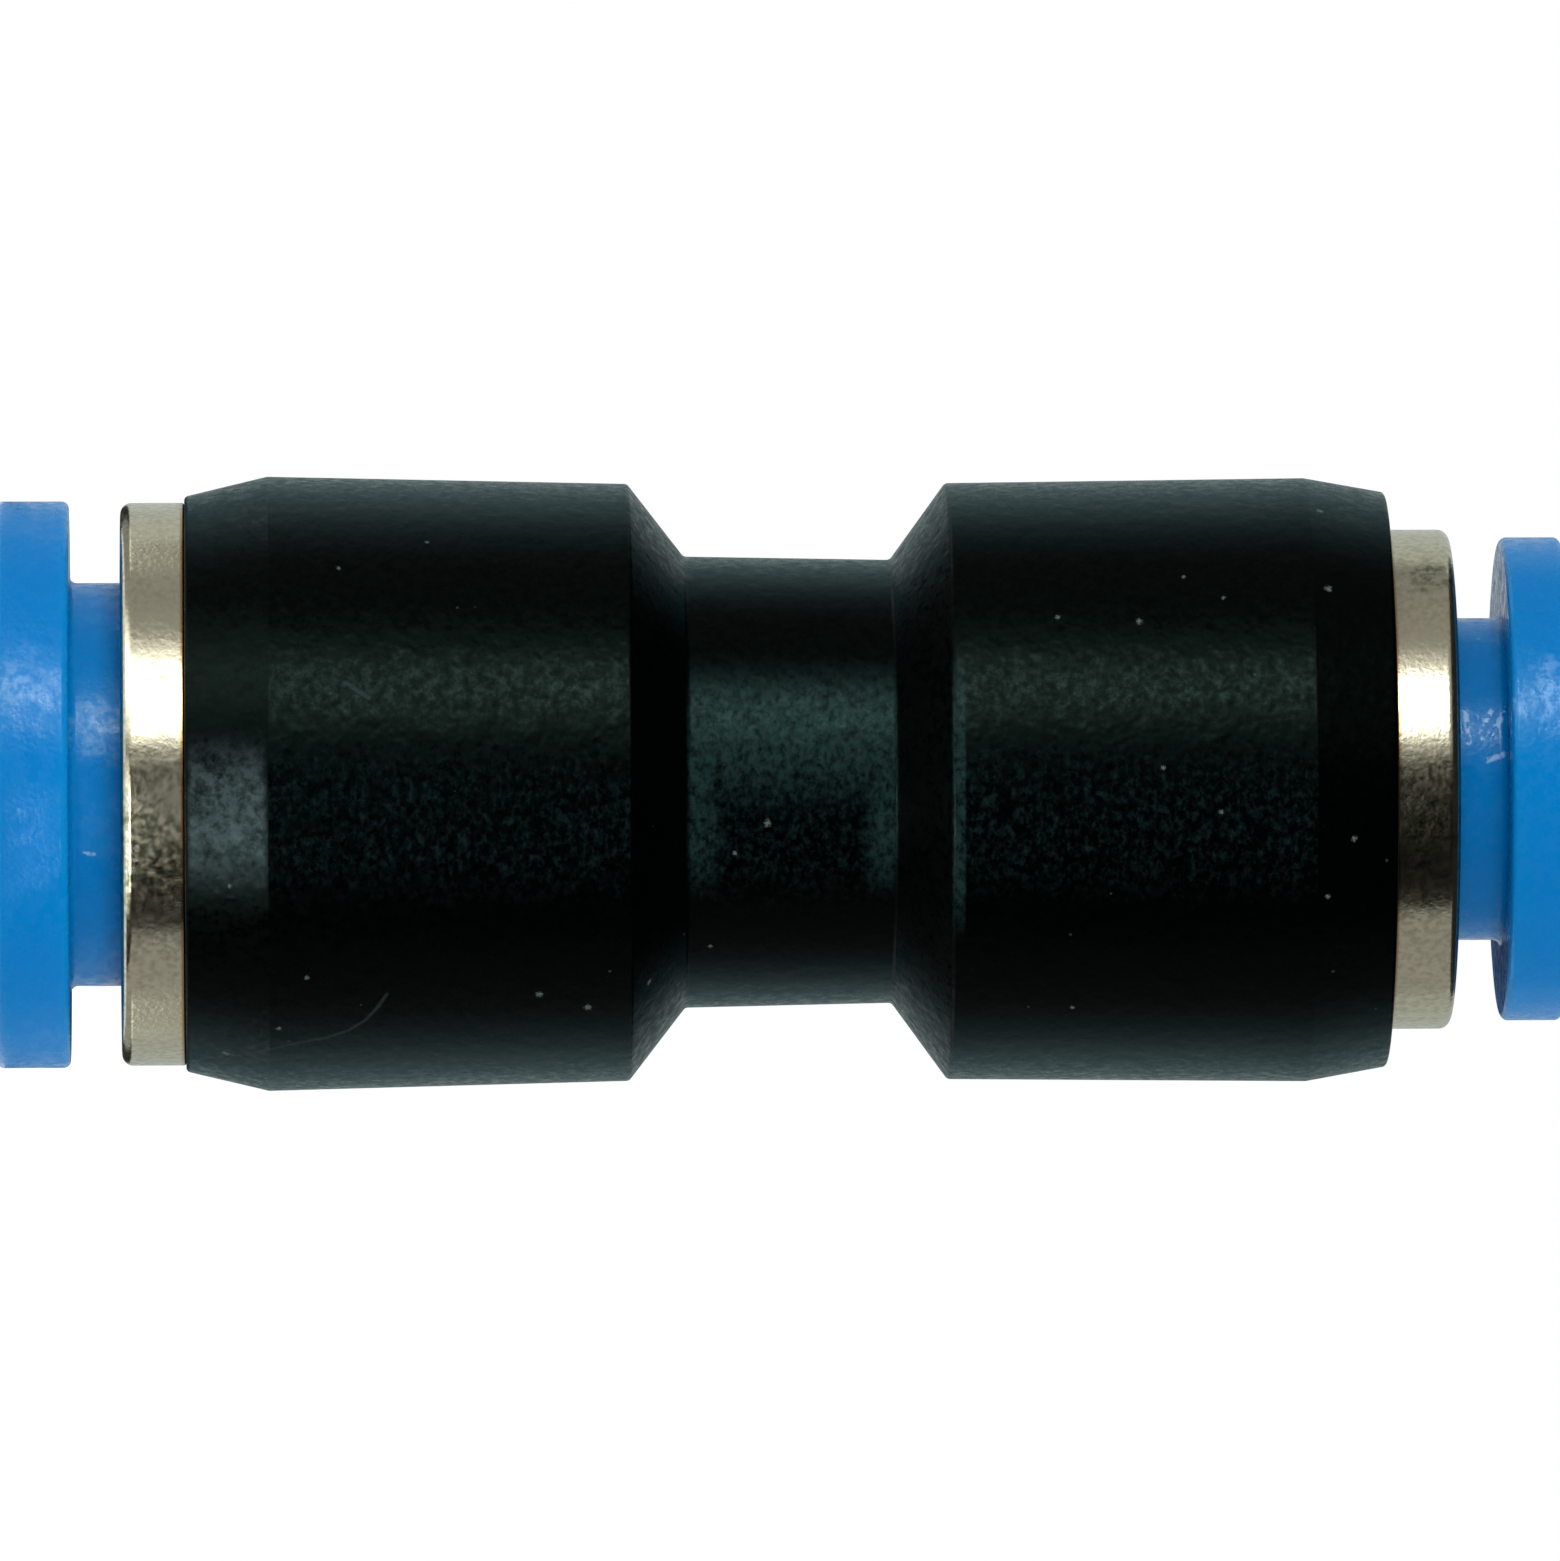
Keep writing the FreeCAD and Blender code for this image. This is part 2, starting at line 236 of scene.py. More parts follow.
# Specks and scratches on the sleeves' necks, given as those on the body
SLEEVE_SPECKS = (
    (2.3, 1.69, 0.15),
    (36.7, -0.99, 0.16),
)
SLEEVE_SCRATCHES = (
    (0.1, (2.15, 1.69), (2.45, 1.72)),
    (0.16, (37.05, -1.3), (37.3, -1.72)),
    (0.14, (36.8, -0.45), (37.3, -0.62)),
    (0.14, (36.3, -1.7), (36.36, -0.9)),
    (0.12, (36.75, -1.35), (36.95, -1.7)),
)

# Background, and the height on the axis that every lamp faces
WORLD_LIGHT = 0.55
FLOOR_RADIUS = 600
FLOOR_GLOW = 0.57
LAMP_AIM = 19

# Key lamps, which reflections don't show: azimuth from the camera's side, radiance
KEY_LAMPS = (
    (46, 5.5),
    (-42, 4.4),
    (150, 3.5),
    (-140, 3.5),
)
KEY_DISTANCE = 300
KEY_LEVEL = 50
KEY_SIZE = (200, 100)

# Lamps of the softbox, given in the same way
SOFTBOX = (
    (14.8, 0.15),
    (24.4, 5.0),
    (34.0, 14.0),
    (43.6, 8.5),
    (53.2, 0.7),
)
SOFTBOX_DISTANCE = 240
SOFTBOX_LEVEL = 20
SOFTBOX_HEIGHT = 56
SOFTBOX_STEP_DEG = 9.6

# Reflection cards, distances from the axis
WALL = 260
BENCH = 255
CEILING_START = 0.1
APRON_START = 9
BACK_SHADE_END = 36
SIDE_CARD_START = 30
SIDE_CARD_END = 110
NEAR_CARD_START = 8.6
LOW_CARD_START = 15
LOW_CARD_END = 22

# Reflection cards, heights above the floor
CEILING = 170
BENCH_HEIGHT = 30
APRON = 0.1
BACK_SHADE = 0.15
FLAT_CARDS = 0.2

# Reflection cards, glow by azimuth from the camera's side. The back begins at BACK_START.
CARD_STEP_DEG = 5
BACK_START = 119
DARK = 0.02
NEUTRAL = (1, 1, 1)
TEAL = (0.93, 1, 0.99)
LILAC = (1.04, 1, 1.04)
WALL_GLOW = (
    (-180, DARK),
    (-177, DARK),
    (-175, 0.54, TEAL),
    (-BACK_START, 0.52, TEAL),
    (-117, 0.38),
    (-64, 0.36),
    (-60, 0.012),
    (7, 0.01),
    (16, 0.35),
    (59, 0.4),
    (62, 0.35),
    (116, 0.3),
    (BACK_START, 0.6, TEAL),
    (180, 0.62, TEAL),
)
APRON_GLOW = (
    (-180, DARK),
    (-177, DARK),
    (-175, 0.54, TEAL),
    (-BACK_START, 0.52, TEAL),
    (-117, 0.38),
    (-64, 0.38),
    (-60, 0.03),
    (8, 0.03),
    (22, 2),
    (34, 4.5),
    (46, 2),
    (60, 0.35),
    (116, 0.3),
    (BACK_START, 0.6, TEAL),
    (180, 0.62, TEAL),
)
SIDE_GLOW = (
    (88, 0.35),
    (98, 1.3),
    (116, 1.3),
    (124, 0.6, TEAL),
)
BENCH_GLOW = (
    (-29, 0.03),
    (-23, 0.27),
    (4, 0.28),
    (9, 0.1),
)
LOW_GLOW = (
    (-38, 0, LILAC),
    (-28, 14, LILAC),
    (-8, 14, LILAC),
    (2, 0, LILAC),
)
NEAR_GLOW = (
    (-42, 0),
    (-34, 1.9),
    (3, 1.9),
    (9, 0),
)

# Camera
CAMERA_DISTANCE = 560
CAMERA_ACROSS = 0.65
CAMERA_HEIGHT = 5.96
CAMERA_YAW = math.radians(1.38)
CAMERA_PITCH = math.radians(0.07)
CAMERA_ROLL = math.radians(-0.231)
CAMERA_SENSOR = 36
CAMERA_LENS = 520.3


class Port:
    """Radii and depths of one port, and where its depths lie along the axis."""

    def __init__(self, suffix, tube_r, end, inwards, flange_thickness, socket_length, tooth_count):
        self.suffix = suffix
        self.end = end
        self.inwards = inwards
        self.tooth_count = tooth_count

        self.bore_r = tube_r + TUBE_GAP
        self.sleeve_r = self.bore_r + SLEEVE_WALL
        self.snap_r = self.sleeve_r + SNAP_HEIGHT
        self.nose_r = self.sleeve_r - NOSE_STEP
        self.nose_tip_r = self.bore_r + NOSE_LAND
        self.guide_bore_r = self.sleeve_r + RUNNING_GAP
        self.recess_r = self.snap_r + SNAP_GAP
        self.claw_rim_r = self.recess_r + CLAW_RIM_OVERLAP
        self.pocket_r = self.claw_rim_r + CLAW_RADIAL_GAP
        self.barrel_r = self.pocket_r + GUIDE_WALL
        self.body_bore_r = self.barrel_r + PRESS_GAP
        self.seal_pocket_r = self.barrel_r - SEAL_POCKET_STEP
        self.claw_bend_r = self.guide_bore_r + CLAW_RADIAL_GAP
        self.claw_tip_r = tube_r - CLAW_BITE
        self.socket_r = tube_r + SOCKET_GAP

        sleeve_low, sleeve_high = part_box("release_sleeve_" + suffix)
        guide_low, guide_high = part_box("guide_ring_" + suffix)
        self.flange_r = sleeve_high.x / MM
        self.guide_flange_r = guide_high.x / MM
        self.sleeve_face, self.nose_end = self.depths(sleeve_low, sleeve_high)
        self.guide_face, self.guide_end = self.depths(guide_low, guide_high)
        self.flange_back = self.sleeve_face + flange_thickness
        self.nose_start = self.nose_end - (self.nose_r - self.nose_tip_r)
        self.seat_end = self.guide_end + CLAW_END_PLAY + SEAT_FLANGE_THICKNESS
        self.seal_pocket_end = self.seat_end + SEAL_POCKET_LENGTH
        self.tube_stop = self.seal_pocket_end + socket_length

    def depths(self, low, high):
        """Outer and inner depth of a box, from its lowest and highest corners in metres."""
        return sorted((corner.z / MM - self.end) * self.inwards for corner in (low, high))

    def height(self, depth):
        """Height above the floor of a depth in this port."""
        return self.end + self.inwards * depth

    def placed(self, corners):
        """Corners of (radius, depth, round) as (radius, height, round)."""
        return [(corner[0], self.height(corner[1]), *corner[2:]) for corner in corners]


def arc(before, corner, after, radius):
    """Points along the arc that rounds a corner, with a support point at each end."""
    back = (before - corner).normalized()
    ahead = (after - corner).normalized()
    half_angle = back.angle(ahead) / 2
    setback = radius / math.tan(half_angle)
    centre = corner + (back + ahead).normalized() * (radius / math.sin(half_angle))
    start = corner + back * setback - centre
    end = corner + ahead * setback - centre
    steps = max(3, round(math.degrees(math.pi - 2 * half_angle) / ARC_STEP_DEG))
    points = [corner + back * (setback + SUPPORT_GAP)]
    for i in range(steps + 1):
        share = i / steps
        points.append(centre + (start * (1 - share) + end * share).normalized() * radius)
    points.append(corner + ahead * (setback + SUPPORT_GAP))
    return points


def outline(corners):
    """Points round a section, from (radius, height) or (radius, height, round) corners."""
    places = [Vector(corner[:2]) for corner in corners]
    points = []
    for i, corner in enumerate(corners):
        if len(corner) > 2:
            after = places[(i + 1) % len(places)]
            points.extend(arc(places[i - 1], places[i], after, corner[2]))
        else:
            points.append(places[i])
    return points


def linked(name, data):
    """New object in the scene that holds a mesh, a lamp or a camera."""
    made = bpy.data.objects.new(name, data)
    bpy.context.scene.collection.objects.link(made)
    return made


def turned(name, corners):
    """Ring or body of revolution about Z with the given section."""
    section = outline(corners)
    rows = len(section)
    vertices = []
    faces = []
    for i in range(SEGMENTS):
        angle = 2 * math.pi * i / SEGMENTS
        for radius, height in section:
            vertices.append((radius * math.cos(angle) * MM, radius * math.sin(angle) * MM, height * MM))
        here = i * rows
        beside = (i + 1) % SEGMENTS * rows
        for j in range(rows):
            above = (j + 1) % rows
            faces.append((here + j, here + above, beside + above, beside + j))
    mesh = bpy.data.meshes.new(name)
    mesh.from_pydata(vertices, [], faces)
    shape = bmesh.new()
    shape.from_mesh(mesh)
    bmesh.ops.recalc_face_normals(shape, faces=shape.faces)
    shape.to_mesh(mesh)
    shape.free()
    return linked(name, mesh)


def cutters(name, section, low, high, turn, count):
    """Prisms over a flat section, turned into place and spread evenly about Z."""
    shape = bmesh.new()
    for i in range(count):
        place = Matrix.Rotation(2 * math.pi * i / count, 4, "Z") @ turn
        ends = []
        for level in (low, high):
            ends.append([shape.verts.new(place @ Vector((x, y, level)) * MM) for x, y in section])
        shape.faces.new(ends[0])
        shape.faces.new(ends[1])
        for j in range(len(section)):
            k = (j + 1) % len(section)
            shape.faces.new((ends[0][j], ends[0][k], ends[1][k], ends[1][j]))
    bmesh.ops.recalc_face_normals(shape, faces=shape.faces)
    mesh = bpy.data.meshes.new(name)
    shape.to_mesh(mesh)
    shape.free()
    return linked(name, mesh)


def cut(piece, cutter):
    """Take the cutter's shape out of the piece and delete the cutter."""
    modifier = piece.modifiers.new("cut", "BOOLEAN")
    modifier.object = cutter
    modifier.solver = "EXACT"
    shaped = piece.evaluated_get(bpy.context.evaluated_depsgraph_get())
    mesh = bpy.data.meshes.new_from_object(shaped)
    piece.modifiers.clear()
    piece.data = mesh
    bpy.data.objects.remove(cutter)


def shaded(piece):
    """Smooth shading that keeps real corners sharp."""
    piece.data.shade_smooth()
    piece.data.set_sharp_from_angle(angle=SHARP_ANGLE)


def press_barbs(radius, gap):
    """Saw-tooth corners along the guide ring's barrel and in the hole that it is pressed into."""
    corners = []
    for depth in PRESS_BARB_DEPTHS:
        corners.append((radius, depth - gap))
        corners.append((radius + PRESS_BARB_HEIGHT, depth - gap))
        corners.append((radius, depth + PRESS_BARB_RAMP))
    return corners


def socket_corners(port):
    """Corners of the stepped hole for one port, from the end face to the tube stop."""
    return port.placed([
        (port.body_bore_r, 0),
        *press_barbs(port.body_bore_r, PRESS_GAP),
        (port.body_bore_r, port.seat_end),
        (port.seal_pocket_r, port.seat_end),
        (port.seal_pocket_r, port.seal_pocket_end),
        (port.socket_r + SOCKET_LEAD, port.seal_pocket_end),
        (port.socket_r, port.seal_pocket_end + SOCKET_LEAD),
        (port.socket_r, port.tube_stop),
        (FLOW_BORE_R, port.tube_stop),
    ])


def make_body(large, small):
    """Moulded body with a waist, and a socket at each end."""
    sockets = socket_corners(small) + socket_corners(large)[::-1]
    piece = turned("moulded_body", [*BODY_OUTSIDE, *sockets])
    shaded(piece)
    return piece


def make_sleeve(port):
    """Release sleeve, with slots whose roots are round."""
    piece = turned("sleeve_" + port.suffix, port.placed([
        (port.bore_r + MOUTH_CHAMFER, port.sleeve_face, MOUTH_ROUND),
        (port.flange_r, port.sleeve_face, FLANGE_ROUND),
        (port.flange_r, port.flange_back, FLANGE_ROUND),
        (port.sleeve_r, port.flange_back, FLANGE_ROOT_ROUND),
        (port.sleeve_r, SNAP_START),
        (port.snap_r, SNAP_START),
        (port.snap_r, SNAP_START + SNAP_LAND),
        (port.nose_r, SNAP_END),
        (port.nose_r, port.nose_start),
        (port.nose_tip_r, port.nose_end),
        (port.bore_r, port.nose_end),
        (port.bore_r, port.sleeve_face + MOUTH_CHAMFER, MOUTH_ROUND),
    ]))
    root = port.height(SLOT_ROOT_DEPTH)
    tip = port.height(port.nose_end + CUT_SPARE)
    section = [(tip, SLOT_WIDTH / 2), (tip, -SLOT_WIDTH / 2)]
    for i in range(SLOT_ROOT_STEPS + 1):
        angle = math.pi * i / SLOT_ROOT_STEPS
        section.append((root - port.inwards * math.sin(angle) * SLOT_WIDTH / 2,
                        -math.cos(angle) * SLOT_WIDTH / 2))
    along_radius = Matrix(((0, 0, 1, 0), (0, 1, 0, 0), (1, 0, 0, 0), (0, 0, 0, 1)))
    cut(piece, cutters("slots", section, CUT_START_R, port.recess_r + CUT_SPARE,
                       along_radius, SLOT_COUNT))
    shaded(piece)
    return piece


def make_guide(port):
    """Guide ring, with a flange on the body and a barbed barrel pressed into it."""
    pocket_depth = CLAW_FRONT - CLAW_END_PLAY
    piece = turned("guide_" + port.suffix, port.placed([
        (port.guide_bore_r + GUIDE_MOUTH_CHAMFER, port.guide_face),
        (port.guide_flange_r, port.guide_face, GUIDE_ROUND),
        (port.guide_flange_r, 0, GUIDE_HEEL_ROUND),
        (port.barrel_r, 0),
        *press_barbs(port.barrel_r, 0),
        (port.barrel_r, port.guide_end),
        (port.pocket_r, port.guide_end),
        (port.pocket_r, pocket_depth),
        (port.recess_r, pocket_depth),
        (port.recess_r, GUIDE_LIP_DEPTH),
        (port.guide_bore_r, GUIDE_LIP_DEPTH),
        (port.guide_bore_r, port.guide_face + GUIDE_MOUTH_CHAMFER),
    ]))
    shaded(piece)
    return piece


def make_claws(port):
    """Claw ring, whose teeth slope inwards from a rim and bend along a short stretch beside it."""
    edge_step = CLAW_STOCK * math.sin(TOOTH_SLOPE)
    front_bend_r = port.claw_bend_r - CLAW_STOCK * math.tan(TOOTH_SLOPE / 2)
    tip_depth = CLAW_FRONT + front_bend_r - port.claw_tip_r
    back = CLAW_FRONT + CLAW_STOCK
    flex_end = back + CLAW_FLEX_LENGTH
    piece = turned("claws_ring_" + port.suffix, port.placed([
        (port.claw_rim_r, CLAW_FRONT),
        (port.claw_rim_r, back),
        (port.claw_bend_r, back),
        (port.claw_bend_r - CLAW_FLEX_LENGTH, flex_end),
        (port.claw_tip_r + edge_step, tip_depth + edge_step),
        (port.claw_tip_r, tip_depth),
        (front_bend_r - CLAW_STOCK - CLAW_FLEX_LENGTH, flex_end),
        (front_bend_r, CLAW_FRONT),
    ]))
    mouth = math.asin(CLAW_SLOT_WIDTH / CLAW_ROOT_D)
    section = [(CUT_START_R, CLAW_SLOT_WIDTH / 2), (CUT_START_R, -CLAW_SLOT_WIDTH / 2)]
    for i in range(CLAW_ROOT_STEPS + 1):
        angle = math.pi - mouth - (2 * math.pi - 2 * mouth) * i / CLAW_ROOT_STEPS
        section.append((port.claw_bend_r + math.cos(angle) * CLAW_ROOT_D / 2,
                        math.sin(angle) * CLAW_ROOT_D / 2))
    levels = sorted((port.height(CLAW_FRONT - CUT_SPARE), port.height(tip_depth + 2 * CUT_SPARE)))
    cut(piece, cutters("gaps", section, *levels, Matrix.Identity(4), port.tooth_count))
    shaded(piece)
    return piece


def node(tree, kind, inputs=None, **settings):
    """Add a shader node. An input, by name or number, is a value or another node's output."""
    made = tree.nodes.new(kind)
    for name, value in settings.items():
        setattr(made, name, value)
    for name, value in (inputs or {}).items():
        if isinstance(value, bpy.types.NodeSocket):
            tree.links.new(value, made.inputs[name])
        else:
            made.inputs[name].default_value = value
    return made


def colour(red, green, blue):
    """Opaque colour, as a shader's socket takes it."""
    return (red, green, blue, 1)


def place(tree, stretch=(1, 1, 1)):
    """The surface point in millimetres, in the piece's own frame."""
    coordinates = node(tree, "ShaderNodeTexCoord")
    scaled = node(tree, "ShaderNodeMapping", {
        "Vector": coordinates.outputs["Object"],
        "Scale": [axis / MM for axis in stretch],
    })
    return scaled.outputs["Vector"]


def noise(tree, size, stretch=(1, 1, 1), detail=2.0, rough=0.5, kind="FBM"):
    """Grey noise whose blotches are about the given size in millimetres."""
    made = node(tree, "ShaderNodeTexNoise", {
        "Vector": place(tree, stretch),
        "Scale": 1 / size,
        "Detail": detail,
        "Roughness": rough,
    }, noise_type=kind)
    return made.outputs["Fac"]


def ramp(tree, value, low, high, start=0.0, end=1.0):
    """Value from low..high turned into start..end, held at both ends."""
    made = node(tree, "ShaderNodeMapRange", {
        "Value": value, "From Min": low, "From Max": high, "To Min": start, "To Max": end,
    }, interpolation_type="SMOOTHSTEP")
    return made.outputs["Result"]


def mixed(tree, share, first, second):
    """First colour where the share is 0 and second colour where it is 1."""
    made = node(tree, "ShaderNodeMix", {"Factor": share}, data_type="RGBA")
    for socket, value in (("A", first), ("B", second)):
        target = next(i for i in made.inputs if i.name == socket and i.type == "RGBA")
        if isinstance(value, bpy.types.NodeSocket):
            tree.links.new(value, target)
        else:
            target.default_value = value
    return next(o for o in made.outputs if o.type == "RGBA")


def maths(tree, operation, *values):
    """Result of one sum on one or two grey values."""
    return node(tree, "ShaderNodeMath", dict(enumerate(values)), operation=operation).outputs[0]


def bump(tree, height, depth, normal=None):
    """Normal for a height map whose full range is the given depth in millimetres."""
    inputs = {"Height": height, "Distance": depth * MM, "Strength": 1.0}
    if normal is not None:
        inputs["Normal"] = normal
    return node(tree, "ShaderNodeBump", inputs).outputs["Normal"]


def flecks(tree, cell, size, share):
    """Sparse small spots: 1 on a spot and 0 elsewhere."""
    cells = node(tree, "ShaderNodeTexVoronoi", {"Vector": place(tree), "Scale": 1 / cell,
                                                "Randomness": 1.0})
    chosen = node(tree, "ShaderNodeSeparateColor", {"Color": cells.outputs["Color"]})
    spot = ramp(tree, cells.outputs["Distance"], size / cell * 0.4, size / cell * 0.6, 1, 0)
    kept = maths(tree, "LESS_THAN", chosen.outputs["Red"], share)
    return maths(tree, "MULTIPLY", spot, kept)


def material(name, specular=0.5, metallic=0.0, tint=(1, 1, 1, 1)):
    """New material, with its node tree and its main shader."""
    made = bpy.data.materials.new(name)
    made.use_nodes = True
    shader = made.node_tree.nodes["Principled BSDF"]
    shader.inputs["Specular IOR Level"].default_value = specular
    shader.inputs["Specular Tint"].default_value = tint
    shader.inputs["Metallic"].default_value = metallic
    return made, made.node_tree, shader


def finish_with(tree, shader, base, roughness, normal):
    """Give the main shader its colour, roughness and normal."""
    tree.links.new(base, shader.inputs["Base Color"])
    tree.links.new(roughness, shader.inputs["Roughness"])
    tree.links.new(normal, shader.inputs["Normal"])


def surface_point(height, across, radius):
    """Point on the camera's side of a cylinder, in millimetres."""
    return Vector((across, -math.sqrt(radius * radius - across * across), height))


def greatest(tree, values):
    """Largest of several grey values."""
    top = values[0]
    for value in values[1:]:
        top = maths(tree, "MAXIMUM", top, value)
    return top


def near_point(tree, point, width):
    """1 within about half the width of a point and 0 further off, with a ragged edge."""
    away = node(tree, "ShaderNodeVectorMath", {0: place(tree), 1: point}, operation="DISTANCE")
    ragged = ramp(tree, noise(tree, width * 0.25), 0.3, 0.7, 0, width * 0.3)
    return ramp(tree, maths(tree, "ADD", away.outputs["Value"], ragged), width * 0.2, width * 0.65, 1, 0)


def body_radius(height):
    """Radius of the body's outside at a height."""
    for (low_r, low, _), (high_r, high, _) in zip(BODY_OUTSIDE, BODY_OUTSIDE[1:]):
        if height <= high:
            break
    return low_r + (high_r - low_r) * (height - low) / (high - low)


def sleeve_radius(height):
    """Radius of the neck of the sleeve at a height."""
    tube_r = LARGE_TUBE_R if height < LARGE_END else SMALL_TUBE_R
    return tube_r + TUBE_GAP + SLEEVE_WALL


def near_line(tree, start, end, width):
    """1 along the straight run between two points and 0 beside it."""
    run = end - start
    offset = node(tree, "ShaderNodeVectorMath", {0: place(tree), 1: start}, operation="SUBTRACT")
    along = node(tree, "ShaderNodeVectorMath", {0: offset.outputs[0], 1: run / run.length_squared},
                 operation="DOT_PRODUCT")
    share = node(tree, "ShaderNodeClamp", {"Value": along.outputs["Value"]})
    nearest = node(tree, "ShaderNodeVectorMath", {0: run, "Scale": share.outputs[0]}, operation="SCALE")
    away = node(tree, "ShaderNodeVectorMath", {0: offset.outputs[0], 1: nearest.outputs[0]},
                operation="DISTANCE")
    return ramp(tree, away.outputs["Value"], width * 0.2, width * 0.7, 1, 0)


def specks_on(tree, radius_at, specks):
    """Mask of dust specks on the camera's side, each as (height, across, width)."""
    marks = []
    for height, across, width in specks:
        marks.append(near_point(tree, surface_point(height, across, radius_at(height)), width))
    return greatest(tree, marks)


def scratches_on(tree, radius_at, scratches):
    """Mask of scratches on the camera's side, each as its width and (height, across) points."""
    marks = []
    for width, *points in scratches:
        run = [surface_point(height, across, radius_at(height)) for height, across in points]
        for start, end in zip(run, run[1:]):
            marks.append(near_line(tree, start, end, width))
    return greatest(tree, marks)


def slope(tree):
    """How far the surface leans: 0 along the axis and 1 square to it."""
    normal = node(tree, "ShaderNodeNewGeometry").outputs["Normal"]
    return maths(tree, "ABSOLUTE", node(tree, "ShaderNodeSeparateXYZ", {0: normal}).outputs["Z"])


def side_band(tree, start, end):
    """Mask of a band along the camera's side, between two distances across."""
    axes = node(tree, "ShaderNodeSeparateXYZ", {0: place(tree)}).outputs
    band = maths(tree, "MULTIPLY", ramp(tree, axes["X"], start - BAND_FADE, start + BAND_FADE),
                 ramp(tree, axes["X"], end - BAND_FADE, end + BAND_FADE, 1, 0))
    return maths(tree, "MULTIPLY", band, maths(tree, "LESS_THAN", axes["Y"], 0))


def off_height(tree, height):
    """How far the surface point lies above or below a height."""
    here = node(tree, "ShaderNodeSeparateXYZ", {0: place(tree)}).outputs["Z"]
    return maths(tree, "ABSOLUTE", maths(tree, "SUBTRACT", here, height))


def painted_waist_highlight(tree):
    """Mask of the painted highlight in the waist, which goes further round in its corners, and beside it.
    """
    half_length = NECK_LENGTH / 2
    off_middle = off_height(tree, (NECK_START + NECK_END) / 2)
    inside = ramp(tree, off_middle, half_length - 0.1, half_length + 0.1, 1, 0)
    corners = ramp(tree, off_middle, half_length - 1, half_length - 0.3)
    band = maths(tree, "MAXIMUM", side_band(tree, *WAIST_BAND),
                 maths(tree, "MULTIPLY", corners, side_band(tree, *WAIST_CORNER_BAND)))
    # Painted highlight along the small shoulder's edge
    shoulder = ramp(tree, off_height(tree, SMALL_SHOULDER + 0.1), 0.1, 0.2, 1, 0)
    return maths(tree, "MAXIMUM", maths(tree, "MULTIPLY", inside, band),
                 maths(tree, "MULTIPLY", shoulder, side_band(tree, *SHOULDER_BAND)))


def painted_chamfer_glint(tree):
    """Mask of the painted glint on the large chamfer."""
    half_length = LARGE_CHAMFER_LENGTH / 2
    chamfer = ramp(tree, off_height(tree, LARGE_END + half_length), half_length - 0.2, half_length, 1, 0)
    return maths(tree, "MULTIPLY", chamfer, side_band(tree, *CHAMFER_BAND))


def black_plastic():
    """Black plastic with dust, specks and scratches, a painted edge-on sheen and painted highlights in
    front.
    """
    made, tree, shader = material("black_plastic", specular=0.055, tint=colour(0.55, 1.0, 0.84))
    grain = noise(tree, 0.17, detail=0)
    lumps = noise(tree, 0.4, detail=0)
    patches = noise(tree, 0.24, detail=3, rough=0.7)
    tone = noise(tree, 0.9, detail=3)
    facing = node(tree, "ShaderNodeLayerWeight", {"Blend": 0.5}).outputs["Facing"]
    # Painted sheen: a teal tint in the base colour where the surface is seen edge-on
    edge = ramp(tree, facing, ramp(tree, slope(tree), 0.3, 0.5, 0.3, 0.5), 1)
    dust = flecks(tree, 0.9, 0.08, 0.3)
    tail_speckle = noise(tree, 0.22, stretch=(1, 1, 1.3), detail=3, rough=0.7)
    # Painted highlight: the speckled tail of the softbox highlight on the barrels, drawn as a dust-like
    # coat
    level = maths(tree, "LESS_THAN", slope(tree), 0.1)
    highlight_tail = maths(tree, "MULTIPLY", level, side_band(tree, *HIGHLIGHT_TAIL_BAND))
    highlight_tail = maths(tree, "MULTIPLY", ramp(tree, tail_speckle, 0.42, 0.9), highlight_tail)
    waist_highlight = maths(tree, "MULTIPLY", ramp(tree, tail_speckle, 0.25, 0.7), painted_waist_highlight(tree))
    clouds = noise(tree, 0.32, detail=3, rough=0.7)
    chamfer_glint = maths(tree, "MULTIPLY", ramp(tree, clouds, 0.25, 0.75), painted_chamfer_glint(tree))
    specks = specks_on(tree, body_radius, BODY_SPECKS)
    scratches = scratches_on(tree, body_radius, BODY_SCRATCHES)
    base = mixed(tree, tone, colour(0, 0.0001, 0.0001), colour(0.0002, 0.0006, 0.0005))
    # Painted sheen: teal base colour at grazing angles
    base = mixed(tree, edge, base, colour(0.018, 0.055, 0.06))
    base = mixed(tree, highlight_tail, base, colour(0.008, 0.019, 0.02))
    # Painted highlight in the waist and at the small shoulder, in the base colour
    base = mixed(tree, waist_highlight, base, colour(0.011, 0.03, 0.029))
    # Painted highlight: a glint on the large chamfer, drawn as a lighter crusted patch
    base = mixed(tree, chamfer_glint, base, colour(0.06, 0.088, 0.092))
    base = mixed(tree, dust, base, colour(0.015, 0.028, 0.026))
    base = mixed(tree, scratches, base, colour(0.011, 0.019, 0.018))
    base = mixed(tree, specks, base, colour(0.09, 0.12, 0.11))
    roughness = ramp(tree, patches, 0.15, 0.85, 0.14, 0.52)
    normal = bump(tree, grain, 0.006)
    normal = bump(tree, lumps, 0.014, normal)
    finish_with(tree, shader, base, roughness, normal)
    return made


